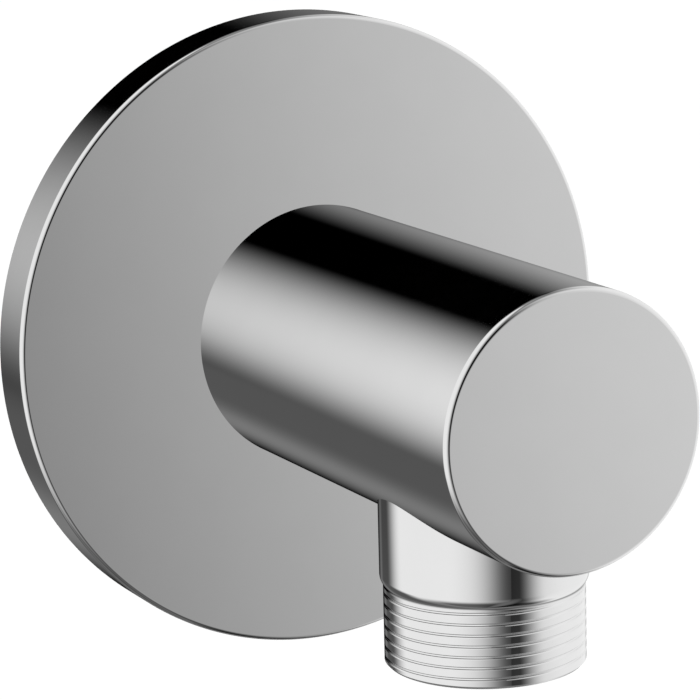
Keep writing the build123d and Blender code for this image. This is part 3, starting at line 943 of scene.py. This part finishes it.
def plate_chrome():
    def recess(n, x, y, z):
        return about_y(n, x, y, z), y, RECESS_RADIUS + MASK_MARGIN, PLATE_RECESS - MASK_MARGIN, MASK_MARGIN
    return polished_chrome("plate_chrome", recess)


def body_chrome():
    front = BODY_FRONT + BODY_MASK_START

    def inside(n, x, y, z):
        return about_y(n, x, y, z), y, BODY_RADIUS - FINE_MARGIN, front, MASK_MARGIN

    # painted shade in the body's water way
    def painted_shade_way(n, x, y, z):
        return about_y(n, x, y, z), y, SOCKET_RADIUS + 2 * MASK_MARGIN, front, BODY_REAR - SOCKET_LEAD_IN
    return polished_chrome("body_chrome", inside, painted_shade_way)


def outlet_chrome():
    def bore(n, x, y, z):
        radius = RIM_POCKET_RADIUS + BORE_MARGIN
        return about_outlet_axis(n, x, y, z), z, radius, OUTLET_END + FINE_MARGIN, 0.0

    # painted shade on the part of the nipple inside the body
    def painted_shade_way(n, x, y, z):
        return about_outlet_axis(n, x, y, z), z, NECK_RADIUS, PORT_SEAT + FINE_MARGIN, 0.0

    # painted shade at the outlet's neck foot
    def painted_foot_shade(n, x, y, z):
        """Painted shade: 1 at the bottom of the groove between the neck and the thread, where shade falls."""
        radius = n.math("SQRT", about_outlet_axis(n, x, y, z))
        floor_radius = THREAD_RADIUS - NECK_RELIEF_DEPTH
        lowest = NECK_BOTTOM - NECK_RELIEF_DEPTH - FINE_MARGIN
        return n.product(n.smooth(radius, floor_radius * MM, THREAD_RADIUS * MM, 1.0, 0.0),
                         n.math("GREATER_THAN", radius, (floor_radius - BORE_MARGIN) * MM),
                         n.math("GREATER_THAN", z, lowest * MM))
    return polished_chrome("outlet_chrome", bore, painted_shade_way, painted_foot_shade)


def turned_brass():
    f = Finish("turned_brass")
    n = f.n
    x, y, z = f.axes()
    patches = f.noise(size=3.0, detail=4.0)
    fine = f.noise(size=0.35)
    roughness = n.math("ADD", f.vary(patches, 0.20, 0.30), f.vary(fine, 0.0, 0.08))
    # the water way is dark with oxide and with painted shade, and the painted shade is darker further in
    bore = f.inside(about_y(n, x, y, z), INLET_RADIUS + BORE_MARGIN, y,
                    KEY_BOTTOM, WALL_THREAD_END + MASK_MARGIN)
    socket = f.inside(about_y(n, x, y, z), KEY_CORNER_RADIUS, y,
                      SPIGOT_FRONT + FINE_MARGIN, KEY_BOTTOM + FINE_MARGIN)
    painted_depth_shade = f.span(y, WALL_THREAD_END * MM, (WALL_THREAD_END - TARNISH_SHADE_DEPTH) * MM, *TARNISH_SHADE_SHARES)
    way = n.product(n.math("MAXIMUM", bore, socket), painted_depth_shade)
    f.set(metallic=1.0, base_color=f.mix(way, f.colour(patches, *BRASS), TARNISH_AND_PAINTED_SHADE), roughness=roughness)
    f.bump(f.rings(y, pitch=0.16, wander=0.6), depth=0.0012)
    return f.material


def nitrile_rubber():
    f = Finish("nitrile_rubber")
    dust = f.noise(size=0.5, detail=4.0)
    f.set(base_color=f.colour(dust, *RUBBER), roughness=f.vary(dust, 0.42, 0.60))
    f.bump(f.noise(size=0.08), depth=0.003)
    return f.material


def closed_foam():
    f = Finish("closed_foam")
    cells = f.cells(size=0.45)
    f.set(base_color=f.colour(cells, *FOAM, 0.2, 0.8), roughness=f.span(cells, 0.0, 1.0, 0.75, 0.95))
    f.bump(f.n.inverse(cells), depth=0.10)
    return f.material


def drawn_steel(name, tone, roughness, size):
    """Steel in streaks of about size millimetres, the darker ones smoother."""
    f = Finish(name)
    streaks = f.noise(size=size, detail=4.0)
    dark = tuple(c * STREAK_SHADE for c in tone)
    f.set(metallic=1.0, base_color=f.colour(streaks, dark, tone), roughness=f.vary(streaks, *roughness))
    f.bump(f.noise(size=size / 4), depth=0.002)
    return f.material


def moulded_acetal(name, tones):
    f = Finish(name)
    flow = f.noise(size=2.2, detail=5.0, stretch=(1, 1, 2.5))
    f.set(base_color=f.colour(flow, *tones), roughness=f.vary(flow, 0.34, 0.50))
    f.bump(f.noise(size=0.12), depth=0.002)
    return f.material


bpy.context.scene.view_settings.view_transform = "Standard"
place_camera()
studio_world()
pale_floor()

turned = (
    ("escutcheon", escutcheon_mesh(), "chrome_plate", plate_chrome()),
    ("elbow_body", elbow_body_mesh(), "chrome_body", body_chrome()),
    ("outlet_nipple", outlet_nipple_mesh(), "chrome_outlet", outlet_chrome()),
    ("wall_nipple", wall_nipple_mesh(), "brass", turned_brass()),
)
for node, mesh, slot, material in turned:
    add_piece(node + "_turned", mesh, "fitting", node, material)

# The spring gets a mesh of its own; in the valve it shortens as the poppet opens
wire = drawn_steel("spring_wire", SPRING_WIRE, roughness=(0.18, 0.30), size=0.3)
spring = add_piece("valve_spring_coil", spring_mesh(), "fitting", "valve_spring", wire)
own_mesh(spring)

finishes = {
    "rubber": nitrile_rubber(),
    "seal_foam": closed_foam(),
    "stainless": drawn_steel("stainless_steel", STEEL, roughness=(0.22, 0.34), size=0.5),
    "spring_steel": wire,
    "valve_plastic": moulded_acetal("natural_acetal", NATURAL_ACETAL),
    "poppet_plastic": moulded_acetal("grey_acetal", GREY_ACETAL),
}
for part in frame["record"]["subparts"]:
    if part["material_slot"] in finishes:
        for held in frame["nodes"][part["node"]].material_slots:
            held.material = finishes[part["material_slot"]]

# Polished metal in the photograph shows the studio alone, so no piece is seen in another
for piece in bpy.data.objects:
    if piece.type == "MESH":
        piece.visible_glossy = False
